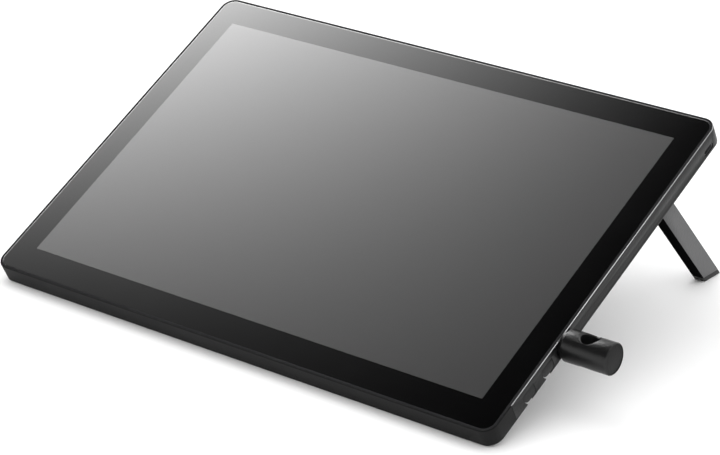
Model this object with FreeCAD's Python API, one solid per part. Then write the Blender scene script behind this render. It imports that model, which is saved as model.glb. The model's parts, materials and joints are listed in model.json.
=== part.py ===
import FreeCAD, Part
import math
import os

# Pen display on two fold-out legs.
# Every piece is drawn in the tablet's own frame: x to the right, y up the screen,
# z out of the screen, with the front surface at z = 0. The last step leans the
# whole tablet back and stands it on the table.

V = FreeCAD.Vector
AXIS_X = V(1, 0, 0)
AXIS_Y = V(0, 1, 0)
AXIS_Z = V(0, 0, 1)

# Driving dimensions, in millimetres and degrees
TILT = 27.0
BODY_W = 382.6
BODY_H = 257.3
BODY_T = 21.0
CORNER_R = 9.0
WALL_H = 12.5
WALL_T = 1.6
RIM_T = 0.75
EDGE_ROUND = 0.35
SCREEN_W = 344.7
SCREEN_H = 215.4

# Glass and display stack: thickness of each sheet, front to back
GLASS_SUNK = 0.15
GLASS_T = 1.1
GLASS_GAP = 0.25
GLASS_BEVEL = 1.2
GLASS_BEVEL_DROP = 0.35
PANEL_BORDER = 3.4
PANEL_T = 1.4
FILMS_T = 0.4
GUIDE_T = 1.8
TRAY_T = 0.4
SENSOR_T = 0.8
SHIELD_T = 0.3
SHEET_GAP = 0.05
LED_BAR_H = 1.5

# Mid frame
FRAME_FLOOR_T = 1.15
FRAME_POCKET_GAP = 0.6

# Bottom edge cover
COVER_SPLIT_Y = -106.0
COVER_WALL_T = 2.4
COVER_RIM_R = RIM_T * 0.9
SEAM = 0.2
FOOT_EDGE_DROP = 0.7
FOOT_START = 1.5
FOOT_LENGTH = 11.5
FOOT_HALF_W = 172.0

# Rear cover
REAR_INSET = 0.5
REAR_SIDE_SLOPE = 15.8
REAR_TOP_SLOPE = 0.4
REAR_FLAT_R = 12.0
REAR_WALL_T = 2.0

# Legs (the right one is drawn, the left one is its mirror image)
LEG_FACE_X = 161.0
LEG_T = 8.5
LEG_W = 13.9
LEG_LEAN = 15.0
LEG_HINGE_Y = 86.3
LEG_SUNK = 0.3
LEG_CHAMFER = 0.7
LEG_FOOT_T = 3.4
PIN_R = 1.5
PIN_CLEARANCE = 0.06
EAR_T = 2.2
EAR_GAP = 0.6
EAR_R = 3.2
EAR_ROOM_R = 5.8
WASHER_T = 0.5
WASHER_R = 3.4
BRACKET_T = 0.8
BRACKET_SCREW_R = 1.0
BRACKET_SCREW_HEAD_R = 1.7
POCKET_CLEARANCE = 1.0
POCKET_FLOOR_T = 1.2
POCKET_WALL_T = 1.2
LEG_CHANNEL_END_X = 26.0
LEG_POCKET_X = LEG_FACE_X + LEG_SUNK + 0.05
HINGE_POCKET_REACH = 14.0
FINGER_SCOOP = 12.0
SCOOP_X = (14.0, 46.0)
SCOOP_DEPTH = 3.0

# Pen holder and its sockets
SOCKET_YS = [-90.3, -70.5, -50.7]
SOCKET_Z = -7.9
SOCKET_W = 11.5
SOCKET_H = 7.8
SOCKET_DEPTH = 8.0
SOCKET_WALL_T = 0.6
SOCKET_SMALL_R = 1.0
SOCKET_LARGE_R = 4.6
SOCKET_LEAST_R = 0.3
PLUG_GAP = 0.2
PLUG_DEPTH = 6.0
PLUG_SKIN = 1.2
NOTCH_RUN = V(-5.0, 4.1, -5.8)
HOLDER_R = 9.7
HOLDER_END_X = 223.8
HOLDER_START_X = 193.4
HOLDER_NECK_R = 8.3
HOLDER_WALL_GAP = 0.15
HOLDER_EDGE = 0.5
PEN_HOLE_R = 5.7
PEN_HOLE_X = 207.5
PEN_HOLE_LIP = 1.1
NIB_CAVITY_R = 8.0
NIB_CAVITY_DEPTH = 8.3
CAP_R = 9.1
CAP_T = 1.1
CAP_RECESS = 0.3
CAP_SKIRT_T = 1.0
CAP_SKIRT_L = 2.0
NIB_R = 0.9
NIB_L = 5.0
NIB_CIRCLE_R = 4.0
STUD_GAP = 0.2
STUD_IN_HOLDER = 5.0

# USB-C port
PORT_Y = 113.1
PORT_Z = -8.9
PORT_W = 8.94
PORT_H = 3.2
PORT_WALL_T = 0.3
PORT_DEPTH = 7.4
PORT_OPEN_GAP = 0.35
TONGUE_W = 6.7
TONGUE_H = 0.7
TONGUE_L = 4.5

# Power button
BUTTON_X = 140.0
BUTTON_Z = -6.4
BUTTON_W = 12.0
BUTTON_H = 3.2
BUTTON_GAP = 0.3
BUTTON_TRAVEL = 0.5
BUTTON_FLANGE = 0.8

# Boards
BOARD_W = 150.0
BOARD_H = 70.0
BOARD_T = 1.6
BOARD_Y = -25.0
BOARD_STANDOFF = 2.2
SPREADER_T = 1.0
SPREADER_SPAN = (-66.0, 60.0, -28.0, 24.0)
SPREADER_CORNER_R = 3.0
RIBBON_T = 0.2
FLEX_HALF_W = 30.0
SENSOR_FLEX_X = (40.0, 60.0)
SENSOR_FLEX_Y = 0.0

# Chips on the main board: middle x, middle y, width, height, thickness
CHIPS = [(-35, -20, 18, 18, 1.2), (20, -15, 14, 14, 1.2), (48, -35, 10, 8, 1.0), (-5, -42, 12, 9, 1.0),
         (-60, -45, 9, 7, 1.4)]

# Rear feet and screws
PAD_L = 34.0
PAD_W = 8.0
PAD_T = 1.8
PAD_SUNK = 0.6
PAD_X = 150.0
PAD_YS = [-96.0, 113.0]
SCREW_HEAD_R = 2.4
SCREW_HEAD_T = 1.2
SCREW_R = 1.2
SCREW_L = 6.0
SCREW_SUNK = 0.4
SCREW_HEX_R = 0.9
SCREW_HEX_DEPTH = 0.7
SCREW_BOSS_WALL = 1.4
SCREW_SPOTS = [(-165, -60), (165, -60), (-165, 20), (165, 20), (-60, -98), (60, -98), (0, 60), (0, -20)]

# How close two lengths must be to count as touching, and as the same
TOUCH = 1e-6
NEAR = 1e-3

# Derived places
HALF_W = BODY_W / 2
HALF_H = BODY_H / 2
BACK_Z = -BODY_T
GLASS_TOP = -GLASS_SUNK
GLASS_BACK = GLASS_TOP - GLASS_T
PANEL_W = SCREEN_W + 2 * PANEL_BORDER
PANEL_H = SCREEN_H + 2 * PANEL_BORDER
PANEL_TOP = GLASS_BACK - SHEET_GAP
PANEL_BACK = PANEL_TOP - PANEL_T
FILMS_TOP = PANEL_BACK - SHEET_GAP
GUIDE_TOP = FILMS_TOP - FILMS_T - SHEET_GAP
TRAY_FLOOR_TOP = GUIDE_TOP - GUIDE_T - SHEET_GAP
SENSOR_TOP = TRAY_FLOOR_TOP - TRAY_T - SHEET_GAP
SHIELD_TOP = SENSOR_TOP - SENSOR_T - SHEET_GAP
FRAME_FLOOR_TOP = SHIELD_TOP - SHIELD_T - SHEET_GAP
FRAME_BACK = FRAME_FLOOR_TOP - FRAME_FLOOR_T
BOARD_TOP = FRAME_BACK - BOARD_STANDOFF
FLEX_Y = -PANEL_H / 2 - 2.0
FLEX_Z = PANEL_TOP - 0.6
HOLDER_Y = SOCKET_YS[-1]
STUD_TIP_X = HALF_W - WALL_T - SOCKET_DEPTH + SOCKET_WALL_T + 0.4
FOOT_EDGE_Z = -WALL_H - FOOT_EDGE_DROP
HINGE_X = LEG_FACE_X - LEG_T / 2
HINGE_Z = BACK_Z + LEG_SUNK + LEG_T / 2
LEG_SPAN = LEG_W / math.cos(math.radians(LEG_LEAN))
LEG_SLOPE = math.tan(math.radians(LEG_LEAN))
LEG_REAR_Y = LEG_HINGE_Y + LEG_SPAN / 2
LEG_FRONT_Y = LEG_HINGE_Y - LEG_SPAN / 2
POCKET_TOP = HINGE_Z + LEG_T / 2 + LEG_SUNK
HINGE_POCKET_TOP = POCKET_TOP + BRACKET_T + LEG_SUNK
SLOPE = math.tan(math.radians(TILT))


def table_z(y, height=0.0):
    """z of the table plane under the tablet at y, raised by a height square to it."""
    return FOOT_EDGE_Z - (y + HALF_H) * SLOPE + height / math.cos(math.radians(TILT))


def box(x0, x1, y0, y1, z0, z1):
    return Part.makeBox(x1 - x0, y1 - y0, z1 - z0, V(x0, y0, z0))


def cylinder(radius, start, length, axis):
    return Part.makeCylinder(radius, length, start, axis)


def ring(outer, inner, start, length, axis):
    return cylinder(outer, start, length, axis).cut(cylinder(inner, start, length, axis))


def rounded_wire(u0, u1, v0, v1, radii, place):
    """Closed outline with one radius per corner: (u0 v0), (u1 v0), (u1 v1), (u0 v1)."""
    turn = math.sqrt(0.5)
    a, b, c, d = radii
    edges = []

    def line(p, q):
        if math.hypot(p[0] - q[0], p[1] - q[1]) > 1e-6:
            edges.append(Part.LineSegment(place(*p), place(*q)).toShape())

    def arc(p, q, centre, radius, du, dv):
        middle = (centre[0] + du * radius * turn, centre[1] + dv * radius * turn)
        edges.append(Part.Arc(place(*p), place(*middle), place(*q)).toShape())

    line((u0 + a, v0), (u1 - b, v0))
    arc((u1 - b, v0), (u1, v0 + b), (u1 - b, v0 + b), b, 1, -1)
    line((u1, v0 + b), (u1, v1 - c))
    arc((u1, v1 - c), (u1 - c, v1), (u1 - c, v1 - c), c, 1, 1)
    line((u1 - c, v1), (u0 + d, v1))
    arc((u0 + d, v1), (u0, v1 - d), (u0 + d, v1 - d), d, -1, 1)
    line((u0, v1 - d), (u0, v0 + a))
    arc((u0, v0 + a), (u0 + a, v0), (u0 + a, v0 + a), a, -1, -1)
    return Part.Wire(edges)


def flat_outline(x0, x1, y0, y1, radius, z):
    return rounded_wire(x0, x1, y0, y1, [radius] * 4, lambda u, v: V(u, v, z))


def slab(half_w, half_h, radius, z_low, z_high):
    """Plate with rounded corners, centred on the screen."""
    wire = flat_outline(-half_w, half_w, -half_h, half_h, radius, z_low)
    return Part.Face(wire).extrude(V(0, 0, z_high - z_low))


def plate(x0, x1, y0, y1, radius, z_low, z_high):
    wire = flat_outline(x0, x1, y0, y1, radius, z_low)
    return Part.Face(wire).extrude(V(0, 0, z_high - z_low))


def frustum(outlines):
    return Part.makeLoft(outlines, True, True)


def prism(points, thickness):
    """Solid swept from a closed polygon."""
    return Part.Face(Part.makePolygon(points + [points[0]])).extrude(thickness)


def side_slot(side, y0, y1, z0, z1, radii, x_from, depth):
    """Rounded bar along x, at a side wall: side is +1 on the right and -1 on the left."""
    start = side * x_from
    wire = rounded_wire(y0, y1, z0, z1, radii, lambda u, v: V(start, u, v))
    return Part.Face(wire).extrude(V(-side * depth, 0, 0))


def edges_where(shape, test):
    return [edge for edge in shape.Edges if test(edge)]


def mirrored(shape):
    return shape.mirror(V(0, 0, 0), AXIS_X)


def front_glass():
    half_w = HALF_W - RIM_T - GLASS_GAP
    half_h = HALF_H - RIM_T - GLASS_GAP
    radius = CORNER_R - RIM_T - GLASS_GAP
    shoulder = GLASS_TOP - GLASS_BEVEL_DROP
    low = slab(half_w, half_h, radius, GLASS_BACK, shoulder)
    outer = flat_outline(-half_w, half_w, -half_h, half_h, radius, shoulder)
    top_w = half_w - GLASS_BEVEL
    top_h = half_h - GLASS_BEVEL
    inner = flat_outline(-top_w, top_w, -top_h, top_h, radius - GLASS_BEVEL, GLASS_TOP)
    return low.fuse(frustum([outer, inner])).removeSplitter()


def lcd_panel():
    return box(-PANEL_W / 2, PANEL_W / 2, -PANEL_H / 2, PANEL_H / 2, PANEL_BACK, PANEL_TOP)


def backlight_tray():
    outer = box(-PANEL_W / 2, PANEL_W / 2, -PANEL_H / 2, PANEL_H / 2,
                TRAY_FLOOR_TOP - TRAY_T, FILMS_TOP)
    inner_w = PANEL_W / 2 - TRAY_T
    inner_h = PANEL_H / 2 - TRAY_T
    return outer.cut(box(-inner_w, inner_w, -inner_h, inner_h, TRAY_FLOOR_TOP, FILMS_TOP))


def tray_sheet(z_low, z_high, bottom_gap):
    """Sheet lying in the backlight tray, short of its lower edge by bottom_gap."""
    half_w = PANEL_W / 2 - TRAY_T - SHEET_GAP
    half_h = PANEL_H / 2 - TRAY_T - SHEET_GAP
    return box(-half_w, half_w, -half_h + bottom_gap, half_h, z_low, z_high)


def led_bar():
    half_w = PANEL_W / 2 - TRAY_T - SHEET_GAP
    low = -PANEL_H / 2 + TRAY_T + SHEET_GAP
    return box(-half_w, half_w, low, low + LED_BAR_H, GUIDE_TOP - GUIDE_T, GUIDE_TOP)


def sensor_flex_slot(clearance):
    x0, x1 = SENSOR_FLEX_X
    return box(x0 - clearance, x1 + clearance, SENSOR_FLEX_Y - clearance,
               SENSOR_FLEX_Y + RIBBON_T + clearance, BOARD_TOP, SENSOR_TOP - SENSOR_T)


def sensor_board():
    half_w = PANEL_W / 2 + 0.2
    half_h = PANEL_H / 2 + 0.2
    return box(-half_w, half_w, -half_h, half_h, SENSOR_TOP - SENSOR_T, SENSOR_TOP)


def shield_plate():
    half_w = PANEL_W / 2 + 0.2
    half_h = PANEL_H / 2 + 0.2
    sheet = box(-half_w, half_w, -half_h, half_h, SHIELD_TOP - SHIELD_T, SHIELD_TOP)
    return sheet.cut(sensor_flex_slot(0.5))


def display_flex():
    back = -BOARD_H / 2 + BOARD_Y + 3.0
    rise = box(-FLEX_HALF_W, FLEX_HALF_W, FLEX_Y, FLEX_Y + RIBBON_T, BOARD_TOP, FLEX_Z)
    top = box(-FLEX_HALF_W, FLEX_HALF_W, FLEX_Y, -PANEL_H / 2, FLEX_Z - RIBBON_T, FLEX_Z)
    run = box(-FLEX_HALF_W, FLEX_HALF_W, FLEX_Y, back, BOARD_TOP, BOARD_TOP + RIBBON_T)
    return rise.fuse([top, run]).removeSplitter()


def board_spots():
    dx = BOARD_W / 2 - 5.0
    dy = BOARD_H / 2 - 5.0
    return [(sx * dx, BOARD_Y + sy * dy) for sx in (-1, 1) for sy in (-1, 1)]


def socket_zone(side):
    """Room that the three socket cups need behind a side wall."""
    x0 = HALF_W - WALL_T - SOCKET_DEPTH - 1.5
    low = SOCKET_YS[0] - SOCKET_W / 2 - 2.0
    high = SOCKET_YS[-1] + SOCKET_W / 2 + 2.0
    zone = box(x0, HALF_W, low, high, -WALL_H - 1.0, GLASS_BACK - 0.6)
    return zone if side > 0 else mirrored(zone)


def inner_slab(z_low, z_high):
    """Everything inside the side walls, with a small gap to them."""
    inset = COVER_WALL_T + 0.2
    return slab(HALF_W - inset, HALF_H - inset, CORNER_R - inset, z_low, z_high)


def mid_frame():
    body = inner_slab(FRAME_BACK, GLASS_BACK)
    pocket_w = PANEL_W / 2 + FRAME_POCKET_GAP
    pocket_h = PANEL_H / 2 + FRAME_POCKET_GAP
    pocket = box(-pocket_w, pocket_w, -pocket_h, pocket_h, FRAME_FLOOR_TOP, GLASS_BACK)
    flex_half_w = FLEX_HALF_W + 2
    flex_slot = box(-flex_half_w, flex_half_w, FLEX_Y - 0.6, -PANEL_H / 2, FRAME_BACK, GLASS_BACK)
    port_room = box(HALF_W - 14, HALF_W, PORT_Y - 7, PORT_Y + 7, FRAME_BACK, PORT_Z + PORT_H)
    button_room = box(BUTTON_X - 9, BUTTON_X + 9, HALF_H - 8.5, HALF_H, FRAME_BACK, BUTTON_Z + 3)
    body = body.cut([pocket, flex_slot, port_room, button_room, sensor_flex_slot(0.5),
                     socket_zone(1), socket_zone(-1)])
    posts = [cylinder(2.5, V(x, y, BOARD_TOP), BOARD_STANDOFF, AXIS_Z) for x, y in board_spots()]
    return body.fuse(posts).removeSplitter()


def outer_ring(wall, z_low, z_high):
    outside = slab(HALF_W, HALF_H, CORNER_R, z_low, z_high)
    inside = slab(HALF_W - wall, HALF_H - wall, CORNER_R - wall, z_low, z_high)
    return outside.cut(inside)


def above_split(y):
    return box(-BODY_W, BODY_W, y, BODY_H, -BODY_T, 1)


def below_split(y):
    return box(-BODY_W, BODY_W, -BODY_H, y, -BODY_T - 20, 1)


def socket_outline(side, y, grow, x_from, depth):
    """D-shaped bar: square corners at the front, wide ones at the back."""
    y0 = y - SOCKET_W / 2 - grow
    y1 = y + SOCKET_W / 2 + grow
    z0 = SOCKET_Z - SOCKET_H / 2 - grow
    z1 = SOCKET_Z + SOCKET_H / 2 + grow
    corners = [SOCKET_LARGE_R, SOCKET_SMALL_R * 2, SOCKET_SMALL_R, SOCKET_SMALL_R]
    radii = [max(radius + grow, SOCKET_LEAST_R) for radius in corners]
    return side_slot(side, y0, y1, z0, z1, radii, x_from, depth)


def nail_notch(side, y):
    """Scoop at the lower corner of a plug, running from the wall in and out of the back."""
    left = y - SOCKET_W / 2
    high = SOCKET_Z - 0.5
    low = -WALL_H - 0.1
    x = HALF_W + 0.5
    points = [V(x, left - 0.2, high), V(x, left + 2.0, low), V(x, left + 6.0, low), V(x, left + 6.0, high)]
    scoop = prism(points, NOTCH_RUN)
    return scoop if side > 0 else mirrored(scoop)


def socket_notches():
    spots = [(1, y) for y in SOCKET_YS[:2]] + [(-1, y) for y in SOCKET_YS]
    return [nail_notch(side, y) for side, y in spots]


def socket_holes():
    depth = WALL_T + 1.0
    return [socket_outline(side, y, 0, HALF_W + 0.5, depth) for side in (1, -1) for y in SOCKET_YS]


def port_hole():
    half_w = PORT_W / 2 + PORT_OPEN_GAP
    half_h = PORT_H / 2 + PORT_OPEN_GAP
    radius = half_h * 0.999
    return side_slot(1, PORT_Y - half_w, PORT_Y + half_w, PORT_Z - half_h, PORT_Z + half_h,
                     [radius] * 4, HALF_W + 0.5, WALL_T + 1.0)


def button_bar(grow, y_from, length):
    """Rounded bar along y, at the top wall."""
    half_w = BUTTON_W / 2 + grow
    half_h = BUTTON_H / 2 + grow
    wire = rounded_wire(BUTTON_X - half_w, BUTTON_X + half_w, BUTTON_Z - half_h, BUTTON_Z + half_h,
                        [half_h * 0.999] * 4, lambda u, v: V(u, y_from, v))
    return Part.Face(wire).extrude(V(0, -length, 0))


def side_frame():
    walls = outer_ring(WALL_T, -WALL_H, GLASS_BACK)
    rim = outer_ring(RIM_T, GLASS_BACK, 0)
    body = walls.fuse(rim).removeSplitter()

    body = body.makeChamfer(EDGE_ROUND, edges_where(body, on_outer_outline))
    body = body.common(above_split(COVER_SPLIT_Y + SEAM / 2))
    hole = button_bar(BUTTON_GAP, HALF_H + 1, WALL_T + 2)
    scoops = [foot_scoop(), mirrored(foot_scoop())]
    return body.cut(socket_holes() + socket_notches() + [port_hole(), hole] + scoops)


def on_outer_outline(edge):
    """True when an edge lies in the front face, on the body's outer outline."""
    if any(abs(vertex.Z) > TOUCH for vertex in edge.Vertexes):
        return False
    middle = edge.valueAt((edge.FirstParameter + edge.LastParameter) / 2)
    dx = max(abs(middle.x) - (HALF_W - CORNER_R), 0)
    dy = max(abs(middle.y) - (HALF_H - CORNER_R), 0)
    return abs(math.hypot(dx, dy) - CORNER_R) < NEAR


def foot_strip():
    """Strip under the lower edge that lies flat on the table."""
    y0 = -HALF_H + FOOT_START * math.cos(math.radians(TILT))
    y1 = y0 + FOOT_LENGTH * math.cos(math.radians(TILT))
    back = -HALF_H + REAR_INSET
    rise = rear_slope_z
    points = [V(-FOOT_HALF_W, -HALF_H, -WALL_H), V(-FOOT_HALF_W, -HALF_H, FOOT_EDGE_Z + 0.5),
              V(-FOOT_HALF_W, y0, table_z(y0)), V(-FOOT_HALF_W, y1, table_z(y1)),
              V(-FOOT_HALF_W, y1 + 0.5, rise(y1 + 0.5)), V(-FOOT_HALF_W, back, -WALL_H)]
    return prism(points, V(2 * FOOT_HALF_W, 0, 0))


def rear_slope_z(y):
    """z of the rear cover's lower slope, which runs level with the table."""
    return -WALL_H - (y + HALF_H - REAR_INSET) * SLOPE


def bottom_edge_cover():
    walls = outer_ring(COVER_WALL_T, -WALL_H, GLASS_BACK).fuse(outer_ring(RIM_T, GLASS_BACK, 0))
    walls = walls.removeSplitter()
    walls = walls.makeFillet(COVER_RIM_R, edges_where(walls, on_outer_outline))
    walls = walls.common(below_split(COVER_SPLIT_Y - SEAM / 2))
    return walls.fuse(foot_strip()).removeSplitter()


def rear_outline(inset, z, slope):
    """Rear cover's outline part way down its slopes: slope 0 at the walls, 1 at the flat back."""
    side = REAR_INSET + inset + slope * REAR_SIDE_SLOPE
    top = REAR_INSET + inset + slope * REAR_TOP_SLOPE
    bottom = REAR_INSET + inset + slope * (BODY_T - WALL_H) / SLOPE
    radius = CORNER_R - REAR_INSET + slope * (REAR_FLAT_R - CORNER_R)
    return flat_outline(-HALF_W + side, HALF_W - side, -HALF_H + bottom, HALF_H - top,
                        max(radius - inset, 1.0), z)


def folded_leg_outline(clearance):
    """Slanting channel that the folded right leg lies in, as a plan outline."""
    far_x = LEG_CHANNEL_END_X
    reach = HINGE_X - far_x
    near = LEG_POCKET_X
    low = LEG_FRONT_Y - clearance
    high = LEG_REAR_Y + clearance
    return [(near, low), (near, high), (HINGE_X, high), (far_x, high + reach * LEG_SLOPE),
            (far_x - FINGER_SCOOP, high + (reach + FINGER_SCOOP) * LEG_SLOPE),
            (far_x - FINGER_SCOOP, low + reach * LEG_SLOPE), (far_x, low + reach * LEG_SLOPE),
            (HINGE_X, low)]


def foot_scoop():
    """Relief in the top wall's rear edge for the end of the folded leg."""
    return box(SCOOP_X[0], SCOOP_X[1], HALF_H - SCOOP_DEPTH, HALF_H + 1, -WALL_H - 1, POCKET_TOP + LEG_SUNK)


def hinge_pocket(grow, top):
    x0 = HINGE_X - HINGE_POCKET_REACH - grow
    x1 = LEG_POCKET_X + grow
    y0 = LEG_FRONT_Y - EAR_GAP - EAR_T - 0.5 - grow
    y1 = LEG_REAR_Y + HINGE_POCKET_REACH * LEG_SLOPE + 1.5 + grow
    return box(x0, x1, y0, y1, BACK_Z - 1, top)


def leg_channel(grow, top):
    points = [V(x, y, BACK_Z - 1) for x, y in folded_leg_outline(POCKET_CLEARANCE + grow)]
    return prism(points, V(0, 0, top - BACK_Z + 1))


def bracket_holes():
    start = HINGE_POCKET_TOP - 0.5
    length = POCKET_FLOOR_T + 1.0
    return [cylinder(BRACKET_SCREW_R, V(HINGE_X, y, start), length, AXIS_Z) for y in bracket_screw_ys()]


def bracket_screw_ys():
    return [LEG_HINGE_Y - 4.0, LEG_HINGE_Y + 4.0]


def pad_spots():
    return [(side * PAD_X, y) for side in (-1, 1) for y in PAD_YS]


def rear_cover():
    outside = frustum([rear_outline(0, -WALL_H, 0), rear_outline(0, BACK_Z, 1)])
    inside = frustum([rear_outline(REAR_WALL_T, -WALL_H, 0),
                      rear_outline(REAR_WALL_T, BACK_Z + REAR_WALL_T, 0.85)])
    shell = outside.cut(inside)
    linings = []
    cuts = []
    for place in (lambda s: s, mirrored):
        lining = leg_channel(POCKET_WALL_T, POCKET_TOP + POCKET_FLOOR_T)
        lining = lining.fuse(hinge_pocket(POCKET_WALL_T, HINGE_POCKET_TOP + POCKET_FLOOR_T))
        linings.append(place(lining.common(lining_room())))
        cuts.append(place(leg_channel(0, POCKET_TOP)))
        cuts.append(place(hinge_pocket(0, HINGE_POCKET_TOP)))
        cuts.extend(place(hole) for hole in bracket_holes())
    for x, y in SCREW_SPOTS:
        linings.append(cylinder(SCREW_HEAD_R + SCREW_BOSS_WALL, V(x, y, BACK_Z), SCREW_L, AXIS_Z))
        cuts.append(cylinder(SCREW_HEAD_R + 0.3, V(x, y, BACK_Z - 1), SCREW_HEAD_T + 1.4, AXIS_Z))
        cuts.append(cylinder(SCREW_R + 0.1, V(x, y, BACK_Z), SCREW_L + 1, AXIS_Z))
    for x, y in pad_spots():
        cuts.append(pad(x, y, 0.15, BACK_Z - 1, BACK_Z + PAD_SUNK))
    shell = shell.fuse(linings)
    return shell.cut(cuts + socket_notches()).removeSplitter()


def lining_room():
    """Space that the rear cover's linings may fill: under the walls and between them."""
    under = Part.Face(rear_outline(0, BACK_Z, 0)).extrude(V(0, 0, BODY_T - WALL_H))
    return under.fuse(inner_slab(-WALL_H, FRAME_BACK - 0.3))


def pad(x, y, grow, z_low, z_high):
    return plate(x - PAD_L / 2 - grow, x + PAD_L / 2 + grow, y - PAD_W / 2 - grow,
                 y + PAD_W / 2 + grow, PAD_W / 2 * 0.6 + grow, z_low, z_high)


def rear_feet():
    return [pad(x, y, 0, BACK_Z + PAD_SUNK - PAD_T, BACK_Z + PAD_SUNK) for x, y in pad_spots()]


def cover_screws():
    screws = []
    for x, y in SCREW_SPOTS:
        base = BACK_Z + SCREW_SUNK
        head = cylinder(SCREW_HEAD_R, V(x, y, base), SCREW_HEAD_T - 0.01, AXIS_Z)
        recess = prism(hexagon(x, y, base - 0.1, SCREW_HEX_R), V(0, 0, SCREW_HEX_DEPTH + 0.1))
        shank = cylinder(SCREW_R, V(x, y, base + SCREW_HEAD_T - 0.02), SCREW_L - 1.0, AXIS_Z)
        screws.append(head.cut(recess).fuse(shank).removeSplitter())
    return screws


def hexagon(x, y, z, radius):
    turns = [math.radians(60 * i) for i in range(6)]
    return [V(x + radius * math.cos(a), y + radius * math.sin(a), z) for a in turns]


def main_board():
    body = box(-BOARD_W / 2, BOARD_W / 2, BOARD_Y - BOARD_H / 2, BOARD_Y + BOARD_H / 2,
               BOARD_TOP - BOARD_T, BOARD_TOP)
    screws = [cylinder(SCREW_R + 0.8, V(x, y, BACK_Z), SCREW_L + 8, AXIS_Z) for x, y in SCREW_SPOTS]
    return body.cut(screws)


def board_chips():
    top = BOARD_TOP - BOARD_T
    return [box(x - w / 2, x + w / 2, y - h / 2, y + h / 2, top - t, top) for x, y, w, h, t in CHIPS]


def heat_spreader():
    top = BOARD_TOP - BOARD_T - 1.4 - SHEET_GAP
    x0, x1, y0, y1 = SPREADER_SPAN
    body = plate(x0, x1, BOARD_Y + y0, BOARD_Y + y1, SPREADER_CORNER_R, top - SPREADER_T, top)
    screws = [cylinder(SCREW_HEAD_R + 1.8, V(x, y, BACK_Z), SCREW_L + 8, AXIS_Z) for x, y in SCREW_SPOTS]
    return body.cut(screws)


def usb_c_shell():
    half_w = PORT_W / 2
    half_h = PORT_H / 2
    x_from = HALF_W - 0.4
    outside = side_slot(1, PORT_Y - half_w, PORT_Y + half_w, PORT_Z - half_h, PORT_Z + half_h,
                        [half_h * 0.999] * 4, x_from, PORT_DEPTH)
    half_w -= PORT_WALL_T
    half_h -= PORT_WALL_T
    inside = side_slot(1, PORT_Y - half_w, PORT_Y + half_w, PORT_Z - half_h, PORT_Z + half_h,
                       [half_h * 0.999] * 4, x_from, PORT_DEPTH - PORT_WALL_T)
    return outside.cut(inside)


def usb_c_tongue():
    back = HALF_W - 0.4 - PORT_DEPTH + PORT_WALL_T
    return box(back, back + TONGUE_L, PORT_Y - TONGUE_W / 2, PORT_Y + TONGUE_W / 2,
               PORT_Z - TONGUE_H / 2, PORT_Z + TONGUE_H / 2)


def port_board():
    top = PORT_Z - PORT_H / 2
    return box(HALF_W - 18, HALF_W - 4.5, PORT_Y - 9, PORT_Y + 9, top - 0.8, top)


def port_cable():
    """Flat cable from the port board down the right side and across to the main board."""
    front = FRAME_BACK - 0.1
    x1 = HALF_W - 15.5
    x0 = x1 - 8.0
    low = BOARD_Y - 4.0
    drop = box(x0, x1, low, PORT_Y - 6, front - RIBBON_T, front)
    across = box(BOARD_W / 2 - 3, x1, low, low + 8, front - RIBBON_T, front)
    port_end = box(x1 - RIBBON_T, x1, PORT_Y - 12, PORT_Y - 6, PORT_Z - PORT_H / 2, front - RIBBON_T)
    board_end = box(BOARD_W / 2 - 3, BOARD_W / 2 - 3 + RIBBON_T, low, low + 8, BOARD_TOP, front - RIBBON_T)
    return drop.fuse([across, port_end, board_end]).removeSplitter()


def power_button():
    """Key in the top wall, with a flange that stops it from falling out."""
    key = button_bar(0, HALF_H + 0.3, WALL_T + 1.2)
    flange = button_bar(BUTTON_FLANGE, HALF_H - WALL_T - 0.35, 0.6)
    return key.fuse(flange).removeSplitter()


def power_switch():
    back = HALF_H - WALL_T - 0.35 - 0.6 - BUTTON_TRAVEL - 0.3
    return box(BUTTON_X - 3, BUTTON_X + 3, back - 3.5, back, BUTTON_Z - 1.75, BUTTON_Z + 1.75)


def socket_cup(side, y):
    x_from = HALF_W - WALL_T
    outside = socket_outline(side, y, SOCKET_WALL_T, x_from, SOCKET_DEPTH)
    inside = socket_outline(side, y, 0, x_from, SOCKET_DEPTH - SOCKET_WALL_T)
    return outside.cut(inside)


def socket_cups(side):
    notches = socket_notches()
    return [socket_cup(side, y).cut(notches) for y in SOCKET_YS]


def socket_plug(side, y):
    """Hollow blanking plug, flush with the wall."""
    x_from = HALF_W - 0.1
    skin = socket_outline(side, y, -PLUG_GAP, x_from, PLUG_SKIN)
    skirt = socket_outline(side, y, -PLUG_GAP, x_from - PLUG_SKIN, PLUG_DEPTH - PLUG_SKIN)
    hollow = socket_outline(side, y, -PLUG_GAP - 1.0, x_from - PLUG_SKIN, PLUG_DEPTH - PLUG_SKIN)
    return skin.fuse(skirt.cut(hollow)).removeSplitter()


def holder_stud():
    length = HOLDER_START_X + STUD_IN_HOLDER - STUD_TIP_X
    return socket_outline(1, HOLDER_Y, -STUD_GAP, STUD_TIP_X + length, length)


def pen_hole_direction():
    """World vertical, seen in the tablet's frame."""
    lean = math.radians(TILT)
    return V(0, math.sin(lean), math.cos(lean))


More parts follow.
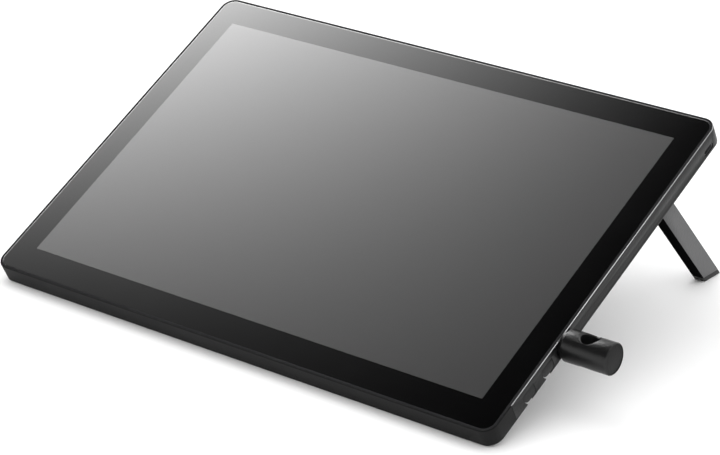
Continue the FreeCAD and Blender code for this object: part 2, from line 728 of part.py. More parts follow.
def pen_holder():
    centre = V(0, HOLDER_Y, SOCKET_Z)
    start = centre + V(HOLDER_START_X, 0, 0)
    body = cylinder(HOLDER_R, start, HOLDER_END_X - HOLDER_START_X, AXIS_X)
    body = body.makeChamfer(HOLDER_EDGE, edges_where(body, lambda e: len(e.Vertexes) == 1))
    neck_x = HALF_W + HOLDER_WALL_GAP
    body = body.fuse(cylinder(HOLDER_NECK_R, centre + V(neck_x, 0, 0), HOLDER_START_X - neck_x + 1, AXIS_X))
    up = pen_hole_direction()
    hole_start = centre + V(PEN_HOLE_X, 0, 0) - up * 15
    body = body.removeSplitter().cut(cylinder(PEN_HOLE_R, hole_start, 30, up))
    mouth = edges_where(body, lambda e: is_hole_mouth(e, centre, up))
    body = body.makeChamfer(PEN_HOLE_LIP, mouth)
    cap_x = HOLDER_END_X - CAP_RECESS - CAP_T
    cavity = cylinder(NIB_CAVITY_R, centre + V(cap_x, 0, 0), NIB_CAVITY_DEPTH - CAP_T, V(-1, 0, 0))
    seat = cylinder(CAP_R + 0.08, centre + V(cap_x, 0, 0), CAP_T + 1, AXIS_X)
    return body.cut([cavity, seat, holder_stud()])


def is_hole_mouth(edge, centre, up):
    """True on the two saddle-shaped edges where the pen hole leaves the round bar."""
    middle = edge.valueAt((edge.FirstParameter + edge.LastParameter) / 2) - centre
    along = middle.dot(up)
    off = (middle - V(PEN_HOLE_X, 0, 0) - up * along).Length
    return abs(off - PEN_HOLE_R) < NEAR and abs(along) > HOLDER_R / 2


def holder_cap():
    x = HOLDER_END_X - CAP_RECESS - CAP_T
    centre = V(x, HOLDER_Y, SOCKET_Z)
    disc = cylinder(CAP_R, centre, CAP_T, AXIS_X)
    outer = NIB_CAVITY_R - 0.08
    skirt = ring(outer, outer - CAP_SKIRT_T, centre - V(CAP_SKIRT_L, 0, 0), CAP_SKIRT_L, AXIS_X)
    return disc.fuse(skirt).removeSplitter()


def nib_places():
    x = HOLDER_END_X - CAP_RECESS - NIB_CAVITY_DEPTH
    spots = []
    for i in range(3):
        turn = math.radians(90 + 120 * i)
        across = NIB_CIRCLE_R * math.cos(turn)
        upward = NIB_CIRCLE_R * math.sin(turn)
        spots.append(V(x, HOLDER_Y + across, SOCKET_Z + upward))
    return spots


def nib_tray():
    x = HOLDER_END_X - CAP_RECESS - NIB_CAVITY_DEPTH
    disc = cylinder(NIB_CAVITY_R - 0.1, V(x, HOLDER_Y, SOCKET_Z), 2.0, AXIS_X)
    return disc.cut([cylinder(NIB_R + 0.05, spot, 3, AXIS_X) for spot in nib_places()])


def spare_nibs():
    nibs = []
    for spot in nib_places():
        stem = cylinder(NIB_R, spot, NIB_L - NIB_R, AXIS_X)
        tip = Part.makeSphere(NIB_R, spot + V(NIB_L - NIB_R, 0, 0))
        nibs.append(stem.fuse(tip).removeSplitter())
    return nibs


def leg_profile(height_low, x):
    """Side view of the leg between its hinge line and a plane above the table."""
    points = []
    for y0 in (LEG_FRONT_Y, LEG_REAR_Y):
        points.append(leg_meets_table(y0, height_low, x))
    return [V(x, LEG_FRONT_Y, HINGE_Z), V(x, LEG_REAR_Y, HINGE_Z), points[1], points[0]]


def leg_meets_table(y0, height, x):
    """Point where a leg edge that starts at y0 on the hinge line meets the raised table plane."""
    base = table_z(0, height)
    z = (base - SLOPE * (y0 + LEG_SLOPE * HINGE_Z)) / (1 - SLOPE * LEG_SLOPE)
    return V(x, y0 + (HINGE_Z - z) * LEG_SLOPE, z)


def leg():
    bar = prism(leg_profile(LEG_FOOT_T, LEG_FACE_X - LEG_T), V(LEG_T, 0, 0))
    long_edges = edges_where(bar, lambda e: e.Length > LEG_W * 3)
    bar = bar.makeChamfer(LEG_CHAMFER, long_edges)
    start = V(HINGE_X, LEG_FRONT_Y, HINGE_Z)
    knuckle = cylinder(LEG_T / 2, start, LEG_SPAN, AXIS_Y)
    ear_room = cylinder(EAR_ROOM_R, start + V(0, LEG_SPAN, 0), EAR_GAP + EAR_T + 1, AXIS_Y)
    body = bar.fuse(knuckle).cut(ear_room)
    return body.cut(cylinder(PIN_R + PIN_CLEARANCE, start - V(0, 1, 0), LEG_SPAN + 2, AXIS_Y))


def leg_foot():
    x = LEG_FACE_X - LEG_T
    top = [leg_meets_table(y0, LEG_FOOT_T, x) for y0 in (LEG_FRONT_Y, LEG_REAR_Y)]
    low = [leg_meets_table(y0, 0, x) for y0 in (LEG_FRONT_Y, LEG_REAR_Y)]
    block = prism([top[0], top[1], low[1], low[0]], V(LEG_T, 0, 0))
    return block.makeChamfer(LEG_CHAMFER, edges_where(block, is_leg_edge))


def is_leg_edge(edge):
    """True on the four edges that run along the leg."""
    run = edge.Vertexes[-1].Point - edge.Vertexes[0].Point
    run.normalize()
    lean = math.radians(LEG_LEAN)
    return abs(abs(run.dot(V(0, math.sin(lean), -math.cos(lean)))) - 1) < 1e-4


def hinge_bracket():
    y0 = LEG_FRONT_Y - EAR_GAP - EAR_T
    y1 = LEG_REAR_Y + EAR_GAP
    base = box(HINGE_X - 5, LEG_FACE_X, y0, y1 + EAR_T, HINGE_POCKET_TOP - BRACKET_T, HINGE_POCKET_TOP)
    ears = []
    for y in (y0, y1):
        ear = box(HINGE_X - EAR_R, HINGE_X + EAR_R, y, y + EAR_T, HINGE_Z, HINGE_POCKET_TOP - BRACKET_T)
        ears.append(ear.fuse(cylinder(EAR_R, V(HINGE_X, y, HINGE_Z), EAR_T, AXIS_Y)))
    body = base.fuse(ears).removeSplitter()
    cuts = [cylinder(PIN_R, V(HINGE_X, y0 - 1, HINGE_Z), LEG_SPAN + 10, AXIS_Y)]
    for y in bracket_screw_ys():
        cuts.append(cylinder(BRACKET_SCREW_HEAD_R, V(HINGE_X, y, HINGE_POCKET_TOP - BRACKET_T),
                             BRACKET_T, AXIS_Z))
    return body.cut(cuts)


def hinge_pin():
    y0 = LEG_FRONT_Y - EAR_GAP - EAR_T
    return cylinder(PIN_R, V(HINGE_X, y0, HINGE_Z), LEG_SPAN + 2 * (EAR_GAP + EAR_T), AXIS_Y)


def hinge_washers():
    slack = (EAR_GAP - WASHER_T) / 2
    starts = [LEG_FRONT_Y - EAR_GAP + slack, LEG_REAR_Y + slack]
    return [ring(WASHER_R, PIN_R + PIN_CLEARANCE, V(HINGE_X, y, HINGE_Z), WASHER_T, AXIS_Y) for y in starts]


def bracket_screws():
    screws = []
    for y in bracket_screw_ys():
        base = HINGE_POCKET_TOP - BRACKET_T
        head = cylinder(BRACKET_SCREW_HEAD_R, V(HINGE_X, y, base), BRACKET_T, AXIS_Z)
        shank = cylinder(BRACKET_SCREW_R, V(HINGE_X, y, base), BRACKET_T + POCKET_FLOOR_T, AXIS_Z)
        screws.append(head.fuse(shank).removeSplitter())
    return screws + [mirrored(s) for s in screws]


def stand_up():
    """Placement that leans the tablet back and puts the foot strip's middle at the origin."""
    lean = math.radians(TILT)
    along = FOOT_START + FOOT_LENGTH / 2
    y = -HALF_H + along * math.cos(lean)
    z = table_z(y)
    shift = V(0, -(y * math.cos(lean) - z * math.sin(lean)), -(y * math.sin(lean) + z * math.cos(lean)))
    return FreeCAD.Placement(shift, FreeCAD.Rotation(AXIS_X, TILT))


def save(name, pieces):
    solids = pieces if isinstance(pieces, list) else [pieces]
    parts = []
    for piece in solids:
        found = piece.Solids
        if len(found) != 1 or not piece.isValid():
            print("check", name, "solids", len(found), "valid", piece.isValid())
        parts.extend(found)
    shape = parts[0] if len(parts) == 1 else Part.makeCompound(parts)
    moved = shape.copy()
    moved.Placement = stand_up().multiply(moved.Placement)
    moved.exportStep("parts/" + name + ".step")


def main():
    os.makedirs("parts", exist_ok=True)
    save("front_glass", front_glass())
    save("lcd_panel", lcd_panel())
    save("diffuser_films", tray_sheet(FILMS_TOP - FILMS_T, FILMS_TOP, 0))
    save("light_guide", tray_sheet(GUIDE_TOP - GUIDE_T, GUIDE_TOP, LED_BAR_H + SHEET_GAP))
    save("led_bar", led_bar())
    save("backlight_tray", backlight_tray())
    save("sensor_board", sensor_board())
    save("shield_plate", shield_plate())
    save("mid_frame", mid_frame())
    save("side_frame", side_frame())
    save("bottom_edge_cover", bottom_edge_cover())
    save("rear_cover", rear_cover())
    save("rear_feet", rear_feet())
    save("cover_screws", cover_screws())
    save("main_board", main_board())
    save("board_chips", board_chips())
    save("heat_spreader", heat_spreader())
    save("port_board", port_board())
    save("usb_c_shell", usb_c_shell())
    save("usb_c_tongue", usb_c_tongue())
    save("port_cable", port_cable())
    save("display_flex", display_flex())
    save("sensor_flex", sensor_flex_slot(0))
    save("power_button", power_button())
    save("power_switch", power_switch())
    save("socket_cups_right", socket_cups(1))
    save("socket_cups_left", socket_cups(-1))
    for number, y in enumerate(SOCKET_YS[:2], 1):
        save("plug_right_%d" % number, socket_plug(1, y))
    for number, y in enumerate(SOCKET_YS, 1):
        save("plug_left_%d" % number, socket_plug(-1, y))
    save("pen_holder", pen_holder())
    save("holder_stud", holder_stud())
    save("holder_cap", holder_cap())
    save("nib_tray", nib_tray())
    save("spare_nibs", spare_nibs())
    for side, place in (("right", lambda s: s), ("left", mirrored)):
        save("leg_" + side, place(leg()))
        save("leg_foot_" + side, place(leg_foot()))
        save("hinge_bracket_" + side, place(hinge_bracket()))
        save("hinge_pin_" + side, place(hinge_pin()))
        save("hinge_washers_" + side, [place(washer) for washer in hinge_washers()])
    save("bracket_screws", bracket_screws())


main()
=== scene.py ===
"""The pen tablet's looks: new meshes, finishes, camera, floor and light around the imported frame."""

import json
import math

import bmesh
import bpy
from mathutils import Matrix, Vector

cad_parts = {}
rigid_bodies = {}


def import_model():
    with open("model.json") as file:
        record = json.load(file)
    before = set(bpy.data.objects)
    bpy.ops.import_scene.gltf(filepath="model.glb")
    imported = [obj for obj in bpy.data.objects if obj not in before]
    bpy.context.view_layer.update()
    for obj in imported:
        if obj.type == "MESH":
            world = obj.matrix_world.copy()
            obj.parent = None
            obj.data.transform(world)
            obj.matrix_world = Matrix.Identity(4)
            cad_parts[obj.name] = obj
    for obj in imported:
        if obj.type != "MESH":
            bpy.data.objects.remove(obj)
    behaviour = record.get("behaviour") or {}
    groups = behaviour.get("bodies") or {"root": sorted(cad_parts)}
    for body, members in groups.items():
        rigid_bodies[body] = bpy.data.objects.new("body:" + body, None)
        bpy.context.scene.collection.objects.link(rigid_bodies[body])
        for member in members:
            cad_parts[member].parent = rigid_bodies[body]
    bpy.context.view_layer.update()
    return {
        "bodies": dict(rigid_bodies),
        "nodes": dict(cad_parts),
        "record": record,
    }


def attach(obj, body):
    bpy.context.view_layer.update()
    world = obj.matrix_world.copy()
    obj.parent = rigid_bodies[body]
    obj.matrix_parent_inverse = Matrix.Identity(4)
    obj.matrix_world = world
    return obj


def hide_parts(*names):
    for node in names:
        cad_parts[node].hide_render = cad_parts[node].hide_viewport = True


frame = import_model()

MM = 0.001

# ---------------------------------------------------------------- the tablet's own axes
REST_AXIS = next(m for m in frame["record"]["mounts"] if m["name"] == "rear_rest_1")["axis"]
TILT = math.atan2(REST_AXIS[1], -REST_AXIS[2])
TURN = Matrix.Rotation(TILT, 4, "X")
UNTURN = TURN.inverted()


def turned_points(node):
    """A node's points with the tilt taken out, so that the glass lies level."""
    return [UNTURN @ v.co for v in frame["nodes"][node].data.vertices]


def limits(points):
    return (
        Vector((min(p[i] for p in points) for i in range(3))),
        Vector((max(p[i] for p in points) for i in range(3))),
    )


SHELL_LOW, SHELL_HIGH = limits(turned_points("side_frame") + turned_points("bottom_edge_cover"))
CENTRE = Vector((0, (SHELL_LOW.y + SHELL_HIGH.y) / 2, SHELL_HIGH.z))
PLACE = TURN @ Matrix.Translation(CENTRE)
UNPLACE = PLACE.inverted()


def tablet_box(node):
    """A node's lowest and highest corner in the tablet's axes.

    X runs right, Y up the screen and Z out of it.
    """
    return limits([UNPLACE @ v.co for v in frame["nodes"][node].data.vertices])


# ---------------------------------------------------------------- materials
GRAIN_DETAIL = 4
CLOUD_SCALE = 38
CLOUD_DETAIL = 3
TONE_BAND = (0.2, 0.8)
ROUGH_BAND = (0.1, 0.9)
ROUGH_SWING = 2
WEAR_BAND = (0.53, 0.62)
WEAR_SHARE = 0.7


def ramp(tree, source, low, high, to_low, to_high):
    node = tree.nodes.new("ShaderNodeMapRange")
    node.inputs["From Min"].default_value = low
    node.inputs["From Max"].default_value = high
    node.inputs["To Min"].default_value = to_low
    node.inputs["To Max"].default_value = to_high
    tree.links.new(source, node.inputs["Value"])
    return node.outputs["Result"]


def noise(tree, coords, scale, detail, rough=0.55, stretch=None):
    if stretch is not None:
        mapping = tree.nodes.new("ShaderNodeMapping")
        mapping.inputs["Scale"].default_value = stretch
        tree.links.new(coords, mapping.inputs["Vector"])
        coords = mapping.outputs["Vector"]
    node = tree.nodes.new("ShaderNodeTexNoise")
    node.inputs["Scale"].default_value = scale
    node.inputs["Detail"].default_value = detail
    node.inputs["Roughness"].default_value = rough
    tree.links.new(coords, node.inputs["Vector"])
    return node.outputs["Fac"]


def mix_colour(tree, factor, dark, light):
    node = tree.nodes.new("ShaderNodeMix")
    node.data_type = "RGBA"
    tree.links.new(factor, node.inputs["Factor"])
    for name, value in (("A", dark), ("B", light)):
        socket = next(s for s in node.inputs if s.name == name and s.type == "RGBA")
        if hasattr(value, "links"):
            tree.links.new(value, socket)
        else:
            socket.default_value = (*value, 1)
    return next(s for s in node.outputs if s.type == "RGBA")


def finish(
    name, colour, rough, metal=0.0, spread=0.08, shade=0.25, grain=900, bump=0.12, depth=0.02,
    wear=None, stretch=None, specular=0.5, coat=0.0, coat_rough=0.03,
):
    """A moulded, painted or metal finish: fine grain in its bump, cloudy roughness and shade.

    `wear` tints the mesh where it is pointed. `depth` is the grain's height in millimetres.
    """
    mat = bpy.data.materials.new(name)
    mat.use_nodes = True
    tree = mat.node_tree
    shader = tree.nodes["Principled BSDF"]
    coords = tree.nodes.new("ShaderNodeTexCoord").outputs["Object"]
    fine = noise(tree, coords, grain, GRAIN_DETAIL, stretch=stretch)
    cloud = noise(tree, coords, CLOUD_SCALE, CLOUD_DETAIL, stretch=stretch)
    dark = tuple(c * (1 - shade) for c in colour)
    light = tuple(min(1.0, c * (1 + shade)) for c in colour)
    tone = mix_colour(tree, ramp(tree, cloud, *TONE_BAND, 0, 1), dark, light)
    if wear is not None:
        edge = tree.nodes.new("ShaderNodeNewGeometry").outputs["Pointiness"]
        tone = mix_colour(tree, ramp(tree, edge, *WEAR_BAND, 0, WEAR_SHARE), tone, wear)
    tree.links.new(tone, shader.inputs["Base Color"])
    swing = ROUGH_SWING * spread
    roughness = ramp(tree, cloud, *ROUGH_BAND, rough - swing, rough + swing)
    tree.links.new(roughness, shader.inputs["Roughness"])
    relief = tree.nodes.new("ShaderNodeBump")
    relief.inputs["Strength"].default_value = bump
    relief.inputs["Distance"].default_value = depth * MM
    tree.links.new(fine, relief.inputs["Height"])
    tree.links.new(relief.outputs["Normal"], shader.inputs["Normal"])
    shader.inputs["Metallic"].default_value = metal
    shader.inputs["Specular IOR Level"].default_value = specular
    shader.inputs["Coat Weight"].default_value = coat
    shader.inputs["Coat Roughness"].default_value = coat_rough
    return mat


FINISHES = {
    "side_frame": finish(
        "side_frame_paint", (0.0055, 0.0055, 0.0058), 0.42, spread=0.04, grain=760, bump=1.0,
        depth=0.16, wear=(0.012, 0.012, 0.012), specular=0.2,
    ),
    "soft_cover": finish(
        "soft_touch_plastic", (0.004, 0.004, 0.0042), 0.5, spread=0.04, grain=900, bump=0.8,
        depth=0.1, wear=(0.009, 0.009, 0.009), specular=0.13,
    ),
    "rear_cover": finish(
        "moulded_back_plastic", (0.02, 0.02, 0.021), 0.55, grain=1500, bump=0.5, depth=0.08,
        wear=(0.045, 0.045, 0.046),
    ),
    "rubber_foot": finish(
        "rubber_pad", (0.018, 0.018, 0.018), 0.78, grain=2200, bump=0.5, depth=0.07
    ),
    "black_screw": finish(
        "blackened_screw", (0.05, 0.05, 0.052), 0.36, metal=0.9, grain=3000, bump=0.2,
        wear=(0.2, 0.2, 0.2),
    ),
    "chip": finish("chip_epoxy", (0.02, 0.02, 0.022), 0.55, grain=2600, bump=0.3),
    "spreader": finish(
        "copper_spreader", (0.65, 0.33, 0.2), 0.36, metal=1.0, grain=900, bump=0.15,
        stretch=(1, 14, 1),
    ),
    "port_steel": finish(
        "port_steel", (0.16, 0.16, 0.165), 0.36, metal=1.0, shade=0.08, grain=2400, bump=0.1,
        stretch=(1, 8, 1),
    ),
    "flat_cable": finish(
        "cable_film", (0.5, 0.25, 0.06), 0.38, grain=1200, bump=0.15, stretch=(1, 22, 1)
    ),
    "button": finish(
        "button_paint", (0.02, 0.02, 0.021), 0.36, spread=0.05, grain=2600, bump=0.2,
        wear=(0.06, 0.06, 0.06),
    ),
    "socket": finish(
        "socket_plastic", (0.004, 0.004, 0.004), 0.6, grain=1800, bump=0.25, specular=0.15
    ),
    "holder": finish(
        "holder_satin", (0.0045, 0.0045, 0.0047), 0.34, spread=0.03, grain=800, bump=1.0,
        depth=0.12, wear=(0.02, 0.02, 0.02), specular=0.35,
    ),
    "stud": finish(
        "stud_steel", (0.3, 0.3, 0.31), 0.34, metal=1.0, grain=1500, bump=0.15, stretch=(12, 1, 1)
    ),
    "holder_cap": finish(
        "cap_grained", (0.0045, 0.0045, 0.0047), 0.5, spread=0.04, grain=900, bump=1.0, depth=0.2,
        wear=(0.03, 0.03, 0.03), specular=0.13,
    ),
    "nib": finish("nib_plastic", (0.05, 0.05, 0.055), 0.4, grain=2500, bump=0.15),
    "plug": finish(
        "plug_paint", (0.0055, 0.0055, 0.0058), 0.42, spread=0.04, grain=760, bump=1.0,
        depth=0.16, wear=(0.008, 0.008, 0.008), specular=0.2,
    ),
    "leg": finish(
        "leg_face_paint", (0.035, 0.035, 0.0362), 0.45, spread=0.04, shade=0.14, specular=0.25,
        grain=620, bump=1.0, depth=0.2, wear=(0.11, 0.11, 0.112),
    ),
    "leg_rubber": finish("leg_rubber", (0.02, 0.02, 0.02), 0.72, grain=1800, bump=0.5, depth=0.07),
    "hinge_steel": finish(
        "hinge_steel", (0.42, 0.42, 0.43), 0.32, metal=1.0, shade=0.1, grain=1800, bump=0.15,
        stretch=(1, 9, 1),
    ),
    "washer": finish("washer_resin", (0.55, 0.54, 0.5), 0.45, grain=1500, bump=0.15),
    "chassis": finish(
        "magnesium_chassis", (0.2, 0.2, 0.205), 0.45, metal=0.85, grain=1300, bump=0.4, depth=0.05,
        wear=(0.4, 0.4, 0.4),
    ),
    "steel_sheet": finish(
        "steel_sheet", (0.5, 0.5, 0.51), 0.34, metal=1.0, shade=0.08, grain=700, bump=0.15,
        stretch=(1, 18, 1),
    ),
    "circuit_board": finish(
        "solder_mask", (0.008, 0.06, 0.03), 0.32, spread=0.05, grain=1500, bump=0.3,
        depth=0.03, coat=0.2,
    ),
    "acrylic": finish("acrylic_guide", (0.75, 0.78, 0.8), 0.12, spread=0.04, grain=2500, bump=0.15),
    "films": finish("diffuser_film", (0.85, 0.85, 0.85), 0.45, shade=0.03, grain=2500, bump=0.1),
    "lcd": finish("lcd_cell", (0.015, 0.016, 0.02), 0.2, spread=0.03, grain=3000, bump=0.08),
}

FINISHES["front_glass"] = finish(
    "bezel_glass", (0.0015, 0.0015, 0.0016), 0.05, spread=0.012, shade=0.2, grain=60, bump=0.01,
    depth=0.01,
)
ETCHED = finish(
    "etched_screen", (0.002, 0.002, 0.0021), 0.15, spread=0.002, shade=0.04, grain=1400, bump=0.02,
    depth=0.01, specular=0.48, coat=0.55, coat_rough=0.42,
)
# Painted shade: a near-black copy of the leg's paint with no specular. It stands in for the shade
# that the leg's narrow faces lie in under the tablet.
LEG_EDGE_SHADE = finish(
    "leg_edge_paint", (0.003, 0.003, 0.0032), 0.55, spread=0.04, grain=1500, bump=0.6, depth=0.06,
    specular=0.0,
)
CUT_EDGE = finish(
    "bright_cut_edge", (0.5, 0.5, 0.51), 0.3, metal=1.0, spread=0.04, shade=0.1, grain=1800,
    bump=0.1,
)
GROUND_EDGE = finish(
    "ground_glass_edge", (0.02, 0.02, 0.021), 0.22, spread=0.03, shade=0.1, grain=1600, bump=0.08
)

for node in frame["nodes"].values():
    for material_slot in node.material_slots:
        material_slot.material = FINISHES[material_slot.material.name.split(".")[0]]


# ---------------------------------------------------------------- making pieces
def add_piece(name, mesh, body, node, materials):
    piece = bpy.data.objects.new(name, mesh)
    bpy.context.scene.collection.objects.link(piece)
    for mat in materials:
        mesh.materials.append(mat)
    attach(piece, body)
    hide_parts(node)
    return piece


WELD = 1e-6
FLAT_ANGLE = math.radians(0.4)
EDGE_ANGLE = math.radians(32)
CHAMFER_ZONE = 0.5 * MM
CHAMFER_LEAN = (0.5, 0.9)
FLAT_TO_X = 0.9


def refine(node, radius, steps=3):
    """The CAD node's own shape as one welded skin, with sharp edges rounded by `radius` in mm."""
    source = frame["nodes"][node]
    body = next(name for name, empty in frame["bodies"].items() if empty == source.parent)
    slot = next(s for s, m in FINISHES.items() if m == source.material_slots[0].material)
    shape = bmesh.new()
    shape.from_mesh(source.data)
    bmesh.ops.remove_doubles(shape, verts=shape.verts, dist=WELD)
    bmesh.ops.dissolve_limit(shape, angle_limit=FLAT_ANGLE, verts=shape.verts, edges=shape.edges)
    mesh = bpy.data.meshes.new(node + "_skin")
    shape.to_mesh(mesh)
    shape.free()
    mesh.materials.clear()
    mesh.shade_smooth()
    piece = add_piece(node + "_skin", mesh, body, node, [FINISHES[slot]])
    rounding = piece.modifiers.new("rounding", "BEVEL")
    rounding.width = radius * MM
    rounding.segments = steps
    rounding.limit_method = "ANGLE"
    rounding.angle_limit = EDGE_ANGLE
    rounding.use_clamp_overlap = True
    rounding.harden_normals = True
    rounding.miter_outer = "MITER_ARC"
    return piece


def paint_shade_on_narrow_faces(piece, material):
    """Every face that doesn't look along X takes the second material, which paints shade on those
    faces.
    """
    piece.data.materials.append(material)
    for face in piece.data.polygons:
        if abs(face.normal.x) < FLAT_TO_X:
            face.material_index = 1


def brighten_chamfer(piece, material):
    """The narrow leaning faces round the front's outer edge take the second material."""
    piece.data.materials.append(material)
    for face in piece.data.polygons:
        lean = (UNTURN.to_3x3() @ face.normal).z
        near_front = (UNPLACE @ face.center).z > -CHAMFER_ZONE
        if CHAMFER_LEAN[0] < lean < CHAMFER_LEAN[1] and near_front:
            face.material_index = 1


def rounded_rectangle(half_x, half_y, radius, height, steps, middle=(0, 0)):
    """The points of a rounded rectangle, anticlockwise from the upper end of its right side."""
    points = []
    for corner, (sx, sy) in enumerate(((1, 1), (-1, 1), (-1, -1), (1, -1))):
        for step in range(steps + 1):
            angle = math.radians(90) * (corner + step / steps)
            points.append(
                Vector(
                    (
                        middle[0] + sx * (half_x - radius) + radius * math.cos(angle),
                        middle[1] + sy * (half_y - radius) + radius * math.sin(angle),
                        height,
                    )
                )
            )
    return points


# ---------------------------------------------------------------- front glass
GLASS_LOW, GLASS_HIGH = tablet_box("front_glass")
GLASS_HALF_X = (GLASS_HIGH.x - GLASS_LOW.x) / 2
GLASS_HALF_Y = (GLASS_HIGH.y - GLASS_LOW.y) / 2
GLASS_MIDDLE = ((GLASS_HIGH.x + GLASS_LOW.x) / 2, (GLASS_HIGH.y + GLASS_LOW.y) / 2)
GLASS_CORNER = 8.0 * MM
EDGE_RUN = 1.2 * MM
EDGE_DROP = 0.35 * MM
EDGE_SOFT = 0.25 * MM
EDGE_CURVE = 1.6
EDGE_STEPS = 5
SCREEN_WIDE = 344.7
SCREEN_TALL = 215.4
SCREEN_HALF_X = SCREEN_WIDE / 2 * MM
SCREEN_HALF_Y = SCREEN_TALL / 2 * MM
SCREEN_CORNER = 0.4 * MM
ARC_STEPS = 12
CLEAR, SCREEN, GROUND = range(3)


def glass_ring(inset, height):
    """The glass's outline, drawn in by `inset`, at a height."""
    return rounded_rectangle(
        GLASS_HALF_X - inset, GLASS_HALF_Y - inset, GLASS_CORNER - inset, height, ARC_STEPS,
        GLASS_MIDDLE,
    )


def glass_sheet():
    """One sheet with a ground edge, a clear black-backed border and the etched display area."""
    top = GLASS_HIGH.z
    rings = [glass_ring(0, GLASS_LOW.z), glass_ring(0, top - EDGE_DROP)]
    for step in range(1, EDGE_STEPS + 1):
        part = step / EDGE_STEPS
        rings.append(glass_ring(EDGE_RUN * part, top - EDGE_DROP * (1 - part) ** EDGE_CURVE))
    rings.append(glass_ring(EDGE_RUN + EDGE_SOFT, top))
    rings.append(rounded_rectangle(SCREEN_HALF_X, SCREEN_HALF_Y, SCREEN_CORNER, top, ARC_STEPS))
    shape = bmesh.new()
    loops = [[shape.verts.new(PLACE @ p) for p in ring] for ring in rings]
    count = len(loops[0])
    for level, (lower, upper) in enumerate(zip(loops, loops[1:])):
        for i in range(count):
            j = (i + 1) % count
            face = shape.faces.new((lower[i], lower[j], upper[j], upper[i]))
            face.material_index = GROUND if level <= EDGE_STEPS else CLEAR
            face.smooth = level <= EDGE_STEPS + 1
    shape.faces.new(loops[-1]).material_index = SCREEN
    shape.faces.new(list(reversed(loops[0]))).material_index = CLEAR
    mesh = bpy.data.meshes.new("glass_sheet")
    shape.to_mesh(mesh)
    shape.free()
    return add_piece(
        "glass_sheet", mesh, "tablet", "front_glass",
        [FINISHES["front_glass"], ETCHED, GROUND_EDGE],
    )


glass_sheet()

# ---------------------------------------------------------------- every other piece that shows
brighten_chamfer(refine("side_frame", 0.08, 2), CUT_EDGE)
refine("bottom_edge_cover", 0.8, 4)
refine("rear_cover", 0.35)
refine("rear_feet", 0.3)
refine("cover_screws", 0.08, 2)
refine("usb_c_shell", 0.06, 2)
refine("usb_c_tongue", 0.08, 2)
refine("power_button", 0.2)
for side in ("right", "left"):
    # The legs' narrow faces take the painted-shade material; their wide faces keep the leg's own
    # paint.
    paint_shade_on_narrow_faces(refine("leg_" + side, 0.45), LEG_EDGE_SHADE)
    refine("leg_foot_" + side, 0.35)
    refine("hinge_bracket_" + side, 0.12, 2)
refine("pen_holder", 0.3)
refine("holder_cap", 0.3)
for plug in ("plug_right_1", "plug_right_2", "plug_left_1", "plug_left_2", "plug_left_3"):
    refine(plug, 0.3)

# ---------------------------------------------------------------- camera
CAMERA_AT = Vector((0.97941, -1.13333, 0.71016))
CAMERA_AIM = Vector((0.01136, 0.10038, 0.05159))
LENS = 139.21
SENSOR = 36
camera_data = bpy.data.cameras.new("camera")
camera_data.sensor_width = SENSOR
camera_data.lens = LENS
camera = bpy.data.objects.new("camera", camera_data)
camera.location = CAMERA_AT
camera.rotation_euler = (CAMERA_AIM - CAMERA_AT).to_track_quat("-Z", "Y").to_euler()
bpy.context.scene.collection.objects.link(camera)
bpy.context.scene.camera = camera


# ---------------------------------------------------------------- floor
FLOOR_REACH = 14.0
FLOOR_LEVEL = -0.0002
FLOOR_DARK = (0.9, 0.9, 0.9)
FLOOR_LIGHT = (0.93, 0.93, 0.93)
FLOOR_BAND = (0.3, 0.7)


def floor_material():
    mat = bpy.data.materials.new("studio_floor")
    mat.use_nodes = True
    tree = mat.node_tree
    shader = tree.nodes["Principled BSDF"]
    coords = tree.nodes.new("ShaderNodeTexCoord").outputs["Object"]
    cloud = noise(tree, coords, scale=3, detail=2)
    tone = mix_colour(tree, ramp(tree, cloud, *FLOOR_BAND, 0, 1), FLOOR_DARK, FLOOR_LIGHT)
    tree.links.new(tone, shader.inputs["Base Color"])
    shader.inputs["Roughness"].default_value = 0.9
    shader.inputs["Specular IOR Level"].default_value = 0.1
    return mat


def quad(name, corners, mat):
    mesh = bpy.data.meshes.new(name)
    mesh.from_pydata([tuple(c) for c in corners], [], [(0, 1, 2, 3)])
    mesh.materials.append(mat)
    plane = bpy.data.objects.new(name, mesh)
    bpy.context.scene.collection.objects.link(plane)
    return plane


quad(
    "floor",
    [
        (-FLOOR_REACH, -FLOOR_REACH, FLOOR_LEVEL),
        (FLOOR_REACH, -FLOOR_REACH, FLOOR_LEVEL),
        (FLOOR_REACH, FLOOR_REACH, FLOOR_LEVEL),
        (-FLOOR_REACH, FLOOR_REACH, FLOOR_LEVEL),
    ],
    floor_material(),
)

# ---------------------------------------------------------------- light
# A soft reflection card hangs parallel to the glass, and only glossy rays see it. The glass mirrors
# it, brightest at the top left and fading to nothing at the lower right. Its right end is dark and
# reaches further out than its left end, so that glossy faces on the right mirror that end and not
# the pale world. CARD_BRIGHT to CARD_CROSS were fitted to greys of the photographed glass's border,
# so the glass matches the photograph from the camera, and looks different from elsewhere.
CARD_RISE = 1.1
EYE = UNPLACE @ CAMERA_AT
CARD_SCALE = (EYE.z + CARD_RISE) / EYE.z
CARD_SPAN_X = 0.178
CARD_SPAN_Y = 0.1145
CARD_BRIGHT = 3.92
CARD_MEAN = 0.2785
CARD_ALONG = -0.2215
CARD_UP = 0.124
CARD_CROSS = -0.106
CARD_ALONG_LIMITS = (-2.4, 2.0)
CARD_UP_LIMITS = (-2.0, 2.2)
CARD_LEFT, CARD_RIGHT = -0.9, 1.8
CARD_FOOT, CARD_HEAD = -0.9, 0.8


def arithmetic(tree, operation, first, second):
    node = tree.nodes.new("ShaderNodeMath")
    node.operation = operation
    for socket, value in zip(node.inputs, (first, second)):
        if hasattr(value, "links"):
            tree.links.new(value, socket)
        else:
            socket.default_value = value
    return node.outputs[0]


def held(tree, value, low, high):
    return arithmetic(tree, "MINIMUM", arithmetic(tree, "MAXIMUM", value, low), high)


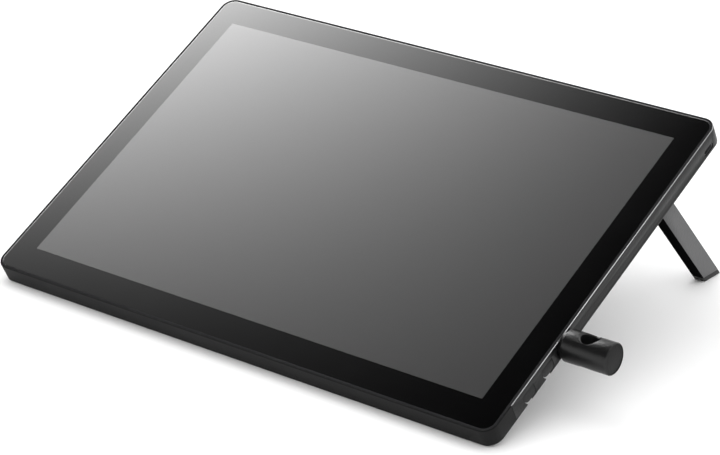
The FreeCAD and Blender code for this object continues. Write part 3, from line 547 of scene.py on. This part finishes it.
def card_material():
    """Emission that is the square of a twisted plane over the card, held between none and full."""
    mat = bpy.data.materials.new("reflection_card")
    mat.use_nodes = True
    tree = mat.node_tree
    tree.nodes.clear()
    coords = tree.nodes.new("ShaderNodeTexCoord").outputs["Object"]
    split = tree.nodes.new("ShaderNodeSeparateXYZ")
    tree.links.new(coords, split.inputs[0])
    along = arithmetic(tree, "MULTIPLY", split.outputs["X"], 1 / CARD_SPAN_X)
    up = arithmetic(tree, "MULTIPLY", split.outputs["Y"], 1 / CARD_SPAN_Y)
    along = held(tree, along, *CARD_ALONG_LIMITS)
    up = held(tree, up, *CARD_UP_LIMITS)
    total = arithmetic(tree, "MULTIPLY", along, CARD_ALONG)
    total = arithmetic(tree, "ADD", total, CARD_MEAN)
    total = arithmetic(tree, "ADD", total, arithmetic(tree, "MULTIPLY", up, CARD_UP))
    cross = arithmetic(tree, "MULTIPLY", arithmetic(tree, "MULTIPLY", along, up), CARD_CROSS)
    total = held(tree, arithmetic(tree, "ADD", total, cross), 0.0, 1.0)
    strength = arithmetic(tree, "MULTIPLY", total, CARD_BRIGHT)
    strength = arithmetic(tree, "MULTIPLY", strength, strength)
    glow = tree.nodes.new("ShaderNodeEmission")
    tree.links.new(strength, glow.inputs["Strength"])
    output = tree.nodes.new("ShaderNodeOutputMaterial")
    tree.links.new(glow.outputs[0], output.inputs["Surface"])
    return mat


# The card's own axes are the glass's, magnified about the foot of the eye's mirror image, so that a
# point of the card has the coordinates of the point of the glass that shows it.
card = quad(
    "reflection_card",
    [
        (CARD_LEFT, CARD_FOOT, 0),
        (CARD_RIGHT, CARD_FOOT, 0),
        (CARD_RIGHT, CARD_HEAD, 0),
        (CARD_LEFT, CARD_HEAD, 0),
    ],
    card_material(),
)
card.matrix_world = (
    PLACE
    @ Matrix.Translation(Vector((EYE.x * (1 - CARD_SCALE), EYE.y * (1 - CARD_SCALE), CARD_RISE)))
    @ Matrix.Diagonal(Vector((CARD_SCALE, CARD_SCALE, 1, 1)))
)
card.visible_camera = False
card.visible_diffuse = False
card.visible_shadow = False
card.visible_transmission = False


def area_light(name, place, aim, width, height, power):
    data = bpy.data.lights.new(name, "AREA")
    data.shape = "RECTANGLE"
    data.size = width
    data.size_y = height
    data.energy = power
    light = bpy.data.objects.new(name, data)
    light.location = place
    light.rotation_euler = (Vector(aim) - Vector(place)).to_track_quat("-Z", "Y").to_euler()
    bpy.context.scene.collection.objects.link(light)
    return light


key = area_light(
    "key_light", place=(-0.32, 0.02, 2.2), aim=(0, 0.1, 0.05), width=1.0, height=1.0, power=5
)
key.visible_glossy = False
rim = area_light(
    "rim_light", place=(1.52, 0.4, 1.55), aim=(0.15, 0.05, 0.08), width=0.4, height=1.4, power=6
)
rim.visible_diffuse = False

WORLD_STRENGTH = 1.4
world = bpy.data.worlds.new("studio")
world.use_nodes = True
world.node_tree.nodes["Background"].inputs["Color"].default_value = (1, 1, 1, 1)
world.node_tree.nodes["Background"].inputs["Strength"].default_value = WORLD_STRENGTH
bpy.context.scene.world = world
bpy.context.scene.view_settings.view_transform = "Standard"
